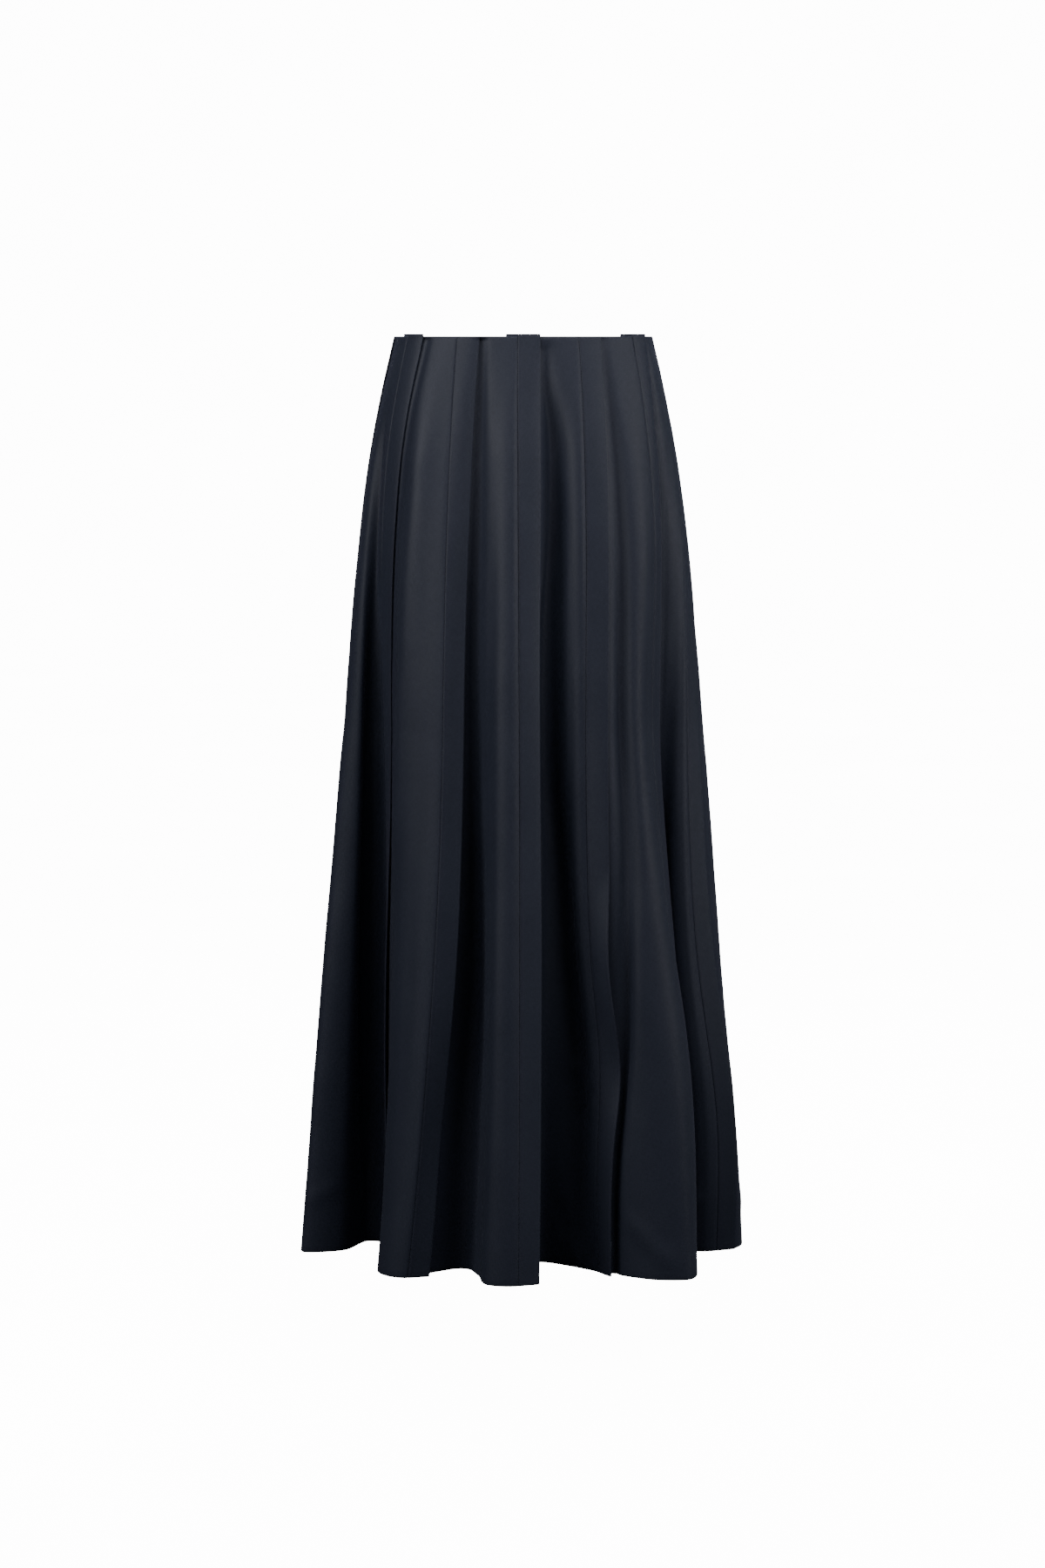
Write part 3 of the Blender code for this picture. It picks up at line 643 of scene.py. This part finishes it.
def shades(tree, source, stops):
    """The colours that a pattern runs through: its value and the colour there, for each stop."""
    node = added(tree, "ShaderNodeValToRGB")
    ramp = node.color_ramp
    while len(ramp.elements) < len(stops):
        ramp.elements.new(0.5)
    for element, (place, colour) in zip(ramp.elements, stops):
        element.position, element.color = place, (*colour, 1.0)
    tree.links.new(source, node.inputs["Fac"])
    return node.outputs["Color"]


def rubbed(tree, shader, source, smoothest, roughest):
    """Roughness that follows a pattern."""
    node = added(tree, "ShaderNodeMapRange")
    node.inputs["To Min"].default_value, node.inputs["To Max"].default_value = smoothest, roughest
    tree.links.new(source, node.inputs["Value"])
    tree.links.new(node.outputs["Result"], shader.inputs["Roughness"])


def embossed(tree, shader, height, strength, depth):
    node = added(tree, "ShaderNodeBump", Strength=strength, Distance=depth)
    tree.links.new(height, node.inputs["Height"])
    tree.links.new(node.outputs["Normal"], shader.inputs["Normal"])


# Scales are in waves or grains a metre of the flat pattern: thick and thin places along each thread, and
# the weave itself.
WARP_SLUBS = (1500.0, 260.0, 1.0)
WEFT_SLUBS = (320.0, 1400.0, 1.0)
WEAVE = (620.0, 620.0, 1.0)
MOTTLE = 14.0


def wool_material():
    """Fine worsted wool: a plain weave of close navy greys, with short slubs along both threads and a soft
    nap. Its pressed face is a little satiny."""
    material, tree, shader = new_material("navy wool")
    pattern = added(tree, "ShaderNodeUVMap", uv_map="pattern").outputs["UV"]
    warp_slubs = grain(tree, scaled(tree, pattern, WARP_SLUBS))
    weft_slubs = grain(tree, scaled(tree, pattern, WEFT_SLUBS))
    slubs = combined(tree, "MULTIPLY", combined(tree, "ADD", warp_slubs, weft_slubs), 0.5)
    mottle = grain(tree, pattern, MOTTLE, 3.0, 0.6)
    heather = shades(
        tree, slubs,
        ((0.32, (0.025, 0.030, 0.051)), (0.50, (0.0302, 0.036, 0.060)), (0.68, (0.0365, 0.042, 0.069))),
    )
    tone = shades(tree, mottle, ((0.3, (0.95, 0.95, 0.955)), (0.7, (1.03, 1.03, 1.03))))
    blend = added(tree, "ShaderNodeMix", data_type="RGBA", blend_type="MULTIPLY")
    blend.inputs[0].default_value = 1.0
    tree.links.new(heather, blend.inputs[6])
    tree.links.new(tone, blend.inputs[7])
    tree.links.new(blend.outputs[2], shader.inputs["Base Color"])
    warp, weft = (bands(tree, scaled(tree, pattern, WEAVE), way, 0.6) for way in ("X", "Y"))
    height = combined(tree, "ADD", combined(tree, "MULTIPLY", warp, weft), slubs)
    embossed(tree, shader, height, 0.3, 0.00015)
    rubbed(tree, shader, mottle, 0.46, 0.58)
    shader.inputs["Specular IOR Level"].default_value = 0.42
    shader.inputs["Sheen Weight"].default_value = 0.08
    shader.inputs["Sheen Roughness"].default_value = 0.45
    shader.inputs["Sheen Tint"].default_value = (0.60, 0.67, 0.86, 1.0)
    return material


navy_wool = wool_material()
for number, gore in enumerate(GORES):
    places, pattern = panel_grid(number)
    panel = cloth_sheet("panel_" + gore["name"], places, pattern)
    panel.data.materials.append(navy_wool)
    solid = f"front_gore_{number + 1}" if number < 6 else f"back_gore_{number - 5}"
    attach(panel, "skirt")
    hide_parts(solid, "pleat_" + GORES[(number + 1) % COUNT]["name"])


# The seam stitching. A row of small sunk lockstitches in matching thread holds each pleat down along its
# seam line, from just below the waist edge to just above the hem.
STITCH_PITCH = 2.9
STITCH_LENGTH = 2.2
STITCH_RADIUS = 0.15
STITCH_SHOWS = 0.1
STITCH_FROM = 3.0
STITCH_BELOW_ZIP = 182.0

bpy.ops.object.select_all(action="DESELECT")
bpy.ops.mesh.primitive_uv_sphere_add(segments=6, ring_count=4, radius=1.0)
one_stitch = bpy.context.object
bpy.ops.object.mode_set(mode="EDIT")
bpy.ops.mesh.select_all(action="SELECT")
bpy.ops.transform.resize(value=(STITCH_RADIUS * MM, STITCH_RADIUS * MM, STITCH_LENGTH / 2 * MM))
bpy.ops.object.mode_set(mode="OBJECT")

thread, thread_tree, thread_shader = new_material("navy thread")
thread_place = added(thread_tree, "ShaderNodeTexCoord").outputs["Object"]
thread_twist = grain(thread_tree, thread_place, 2600.0, 1.0)
thread_colour = shades(
    thread_tree, thread_twist, ((0.3, (0.006, 0.007, 0.011)), (0.7, (0.015, 0.017, 0.025)))
)
thread_tree.links.new(thread_colour, thread_shader.inputs["Base Color"])
thread_shader.inputs["Roughness"].default_value = 0.7
thread_shader.inputs["Specular IOR Level"].default_value = 0.2


def seam_frame(i, drop):
    """The seam's point, and the ways down along it, along its pleat and outwards."""
    here, heading = seam_at(i, drop)
    low, _ = seam_at(i, drop + 1.0)
    down = np.array([*(low - here), -1.0])
    down /= np.linalg.norm(down)
    return np.array([*here, -drop]), down, np.array([*heading, 0.0]), np.array([*-inward_of(heading), 0.0])


def laid_copies(name, source, frames, material):
    """One mesh of copies of a small piece, each at its own frame: place, and three directions."""
    shape = np.array([v.co for v in source.data.vertices])
    faces = [tuple(p.vertices) for p in source.data.polygons]
    points, all_faces = [], []
    for place, axes in frames:
        start = len(points) * len(shape)
        points.append(place + shape @ axes)
        all_faces += [tuple(v + start for v in face) for face in faces]
    mesh = bpy.data.meshes.new(name)
    mesh.from_pydata([tuple(p) for p in np.concatenate(points)], [], all_faces)
    mesh.materials.append(material)
    mesh.shade_smooth()
    item = bpy.data.objects.new(name, mesh)
    bpy.context.scene.collection.objects.link(item)
    return item


for number, gore in enumerate(GORES):
    frames = []
    first = STITCH_BELOW_ZIP if number == ZIP_SEAM else STITCH_FROM
    for drop in np.arange(first, LENGTH - STITCH_FROM, STITCH_PITCH):
        place, down, _, outward = seam_frame(number, drop)
        across = np.cross(down, outward)
        across /= np.linalg.norm(across)
        outward = np.cross(across, down)
        place = place + outward * (CLOTH / 2 - SEAM_GROOVE + STITCH_RADIUS * STITCH_SHOWS)
        frames.append((place * MM, np.array([across, outward, down])))
    stitches = laid_copies("stitches_" + gore["name"], one_stitch, frames, thread)
    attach(stitches, "skirt")
bpy.data.objects.remove(one_stitch, do_unlink=True)


# The zip's tapes. Two narrow strips of dark herringbone tape are sewn inside the centre back seam. Their
# shape in the frame is right, so they keep it and get a woven finish.
tape_finish, tape_tree, tape_shader = new_material("zip tape")
tape_place = added(tape_tree, "ShaderNodeTexCoord").outputs["Object"]
twill = bands(tape_tree, scaled(tape_tree, tape_place, (600.0, 600.0, 600.0)), "DIAGONAL", 0.4)
tape_colour = shades(tape_tree, twill, ((0.2, (0.014, 0.016, 0.022)), (0.8, (0.030, 0.033, 0.044))))
tape_tree.links.new(tape_colour, tape_shader.inputs["Base Color"])
tape_shader.inputs["Roughness"].default_value = 0.7
embossed(tape_tree, tape_shader, twill, 0.4, 0.0002)
for name in ("zip_tape_left", "zip_tape_right"):
    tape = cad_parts[name]
    tape.data.materials.clear()
    tape.data.materials.append(tape_finish)


# The zip's coil. A dark plastic monofilament is wound into close interlocking teeth and sewn to the
# tapes, on the side that faces the wearer. It starts below the slider, which stays closed at the top.
TOOTH_PITCH = 1.3
TOOTH_HALF = (1.25, 0.62, 0.52)
TOOTH_OFFSET = 0.42
COIL_DEPTH = 5.2
COIL_DROPS = (14.6, 179.0)

bpy.ops.object.select_all(action="DESELECT")
bpy.ops.mesh.primitive_uv_sphere_add(segments=10, ring_count=7, radius=1.0)
one_tooth = bpy.context.object
bpy.ops.object.mode_set(mode="EDIT")
bpy.ops.mesh.select_all(action="SELECT")
bpy.ops.transform.resize(value=[half * MM for half in TOOTH_HALF])
bpy.ops.object.mode_set(mode="OBJECT")

coil_finish, coil_tree, coil_shader = new_material("zip coil")
coil_place = added(coil_tree, "ShaderNodeTexCoord").outputs["Object"]
coil_grain = grain(coil_tree, coil_place, 900.0)
coil_colour = shades(coil_tree, coil_grain, ((0.3, (0.012, 0.014, 0.020)), (0.7, (0.026, 0.029, 0.039))))
coil_tree.links.new(coil_colour, coil_shader.inputs["Base Color"])
coil_shader.inputs["Roughness"].default_value = 0.38
frames = []
for k, drop in enumerate(np.arange(*COIL_DROPS, TOOTH_PITCH / 2)):
    place, down, side, outward = seam_frame(ZIP_SEAM, drop)
    place = place - outward * COIL_DEPTH + side * (TOOTH_OFFSET if k % 2 else -TOOTH_OFFSET)
    frames.append((place * MM, np.array([side, -outward, down])))
coil = laid_copies("zip_teeth", one_tooth, frames, coil_finish)
bpy.data.objects.remove(one_tooth, do_unlink=True)
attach(coil, "skirt")
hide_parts("zip_coil")


# The slider and its pull tab. Both are cast metal in dark satin enamel, worn a little brighter where they
# rub. Their shapes in the frame are right, so they keep them.
enamel, enamel_tree, enamel_shader = new_material("dark enamel")
enamel_place = added(enamel_tree, "ShaderNodeTexCoord").outputs["Object"]
scuffs = grain(enamel_tree, enamel_place, 700.0, 4.0)
enamel_colour = shades(enamel_tree, scuffs, ((0.35, (0.026, 0.030, 0.042)), (0.75, (0.075, 0.080, 0.095))))
enamel_tree.links.new(enamel_colour, enamel_shader.inputs["Base Color"])
rubbed(enamel_tree, enamel_shader, scuffs, 0.28, 0.5)
enamel_shader.inputs["Specular IOR Level"].default_value = 0.7
enamel_shader.inputs["Coat Weight"].default_value = 0.4
enamel_shader.inputs["Coat Roughness"].default_value = 0.25
for name in ("zip_slider", "zip_pull"):
    metal_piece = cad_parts[name]
    metal_piece.data.materials.clear()
    metal_piece.data.materials.append(enamel)


# The studio floor and backdrop. One round cove of white paper, lit so that it stays white all round: flat
# under the skirt, and curving up into a dome. The skirt hangs a hand's width above the floor, as when worn.
FLOOR = -1.06
COVE_RADIUS = 9.0
COVE_CURVE = 0.6
bpy.ops.object.select_all(action="DESELECT")
bpy.ops.mesh.primitive_uv_sphere_add(segments=96, ring_count=48, radius=COVE_RADIUS)
cove = bpy.context.object
cove.name = "studio_cove"
bpy.ops.object.mode_set(mode="EDIT")
bpy.ops.mesh.select_all(action="SELECT")
bpy.ops.mesh.flip_normals()
bpy.ops.object.mode_set(mode="OBJECT")
for vertex in cove.data.vertices:
    up = vertex.co.z
    vertex.co.z = FLOOR + (up + math.sqrt(up * up + COVE_CURVE * COVE_CURVE)) / 2
cove.data.shade_smooth()
paper, paper_tree, paper_shader = new_material("studio paper")
paper_place = added(paper_tree, "ShaderNodeTexCoord").outputs["Object"]
paper_grain = grain(paper_tree, paper_place, 3.0)
paper_colour = shades(paper_tree, paper_grain, ((0.3, (0.97, 0.97, 0.97)), (0.7, (1.0, 1.0, 1.0))))
paper_tree.links.new(paper_colour, paper_shader.inputs["Emission Color"])
paper_shader.inputs["Emission Strength"].default_value = 14.0
paper_shader.inputs["Base Color"].default_value = (0.93, 0.93, 0.93, 1.0)
paper_shader.inputs["Roughness"].default_value = 0.9
cove.data.materials.append(paper)
cove.visible_diffuse = False
cove.visible_glossy = False


# The light. Soft boxes stand on the left and the right, a little above the waist, with two high up and a
# gap straight ahead, so that the folds model from light crests to black troughs. Three more behind light
# the back. Angles are in degrees from the front toward the viewer's right, and up.
world = bpy.data.worlds.new("studio air")
world.use_nodes = True
world.node_tree.nodes["Background"].inputs[0].default_value = (1.0, 1.0, 1.0, 1.0)
world.node_tree.nodes["Background"].inputs[1].default_value = 0.01
bpy.context.scene.world = world
LIGHT_AIM = Vector((0.0, 0.0, -0.35))
LIGHT_REACH = 2.3
BEHIND = 120
LIGHTS = (
    {"name": "left_softbox", "round": -57, "up": 25, "size": 0.9, "power": 14.0},
    {"name": "front_left_softbox", "round": -34, "up": 28, "size": 0.8, "power": 6.0},
    {"name": "right_softbox", "round": 39, "up": 30, "size": 0.8, "power": 5.2},
    {"name": "right_side_softbox", "round": 80, "up": 16, "size": 1.0, "power": 11.0},
    {"name": "upper_right_softbox", "round": 42, "up": 60, "size": 0.9, "power": 15.5},
    {"name": "upper_left_softbox", "round": -15, "up": 60, "size": 0.8, "power": 4.2},
    {"name": "back_left_softbox", "round": -150, "up": 30, "size": 0.9, "power": 14.0},
    {"name": "back_right_softbox", "round": 150, "up": 30, "size": 0.9, "power": 10.0},
    {"name": "back_upper_softbox", "round": 180, "up": 58, "size": 0.9, "power": 18.0},
)
for row in LIGHTS:
    round_, up = math.radians(row["round"]), math.radians(row["up"])
    light = bpy.data.lights.new(row["name"], "AREA")
    light.size, light.energy = row["size"], row["power"]
    lamp = bpy.data.objects.new(row["name"], light)
    way = Vector((math.sin(round_) * math.cos(up), -math.cos(round_) * math.cos(up), math.sin(up)))
    lamp.location = LIGHT_AIM + LIGHT_REACH * way
    lamp.rotation_euler = (-way).to_track_quat("-Z", "Y").to_euler()
    lamp.visible_camera = False
    # The boxes behind would otherwise draw a bright rim along the outline.
    lamp.visible_glossy = abs(row["round"]) < BEHIND
    bpy.context.scene.collection.objects.link(lamp)


# The camera. It stands 4.2 m off at the height of the waist, which is the frame's zero level, and looks down
# a little, with a portrait lens, as in the photo.
CAMERA_BACK = 4.2
CAMERA_SIDE = -0.0009
LENS = 93.34
LOOK_DOWN = 6.285
camera_data = bpy.data.cameras.new("camera")
camera_data.sensor_width = 36.0
camera_data.lens = LENS
camera = bpy.data.objects.new("camera", camera_data)
camera.location = (CAMERA_SIDE, -CAMERA_BACK, 0.0)
camera.rotation_euler = (math.radians(90 - LOOK_DOWN), 0.0, 0.0)
bpy.context.scene.collection.objects.link(camera)
bpy.context.scene.camera = camera
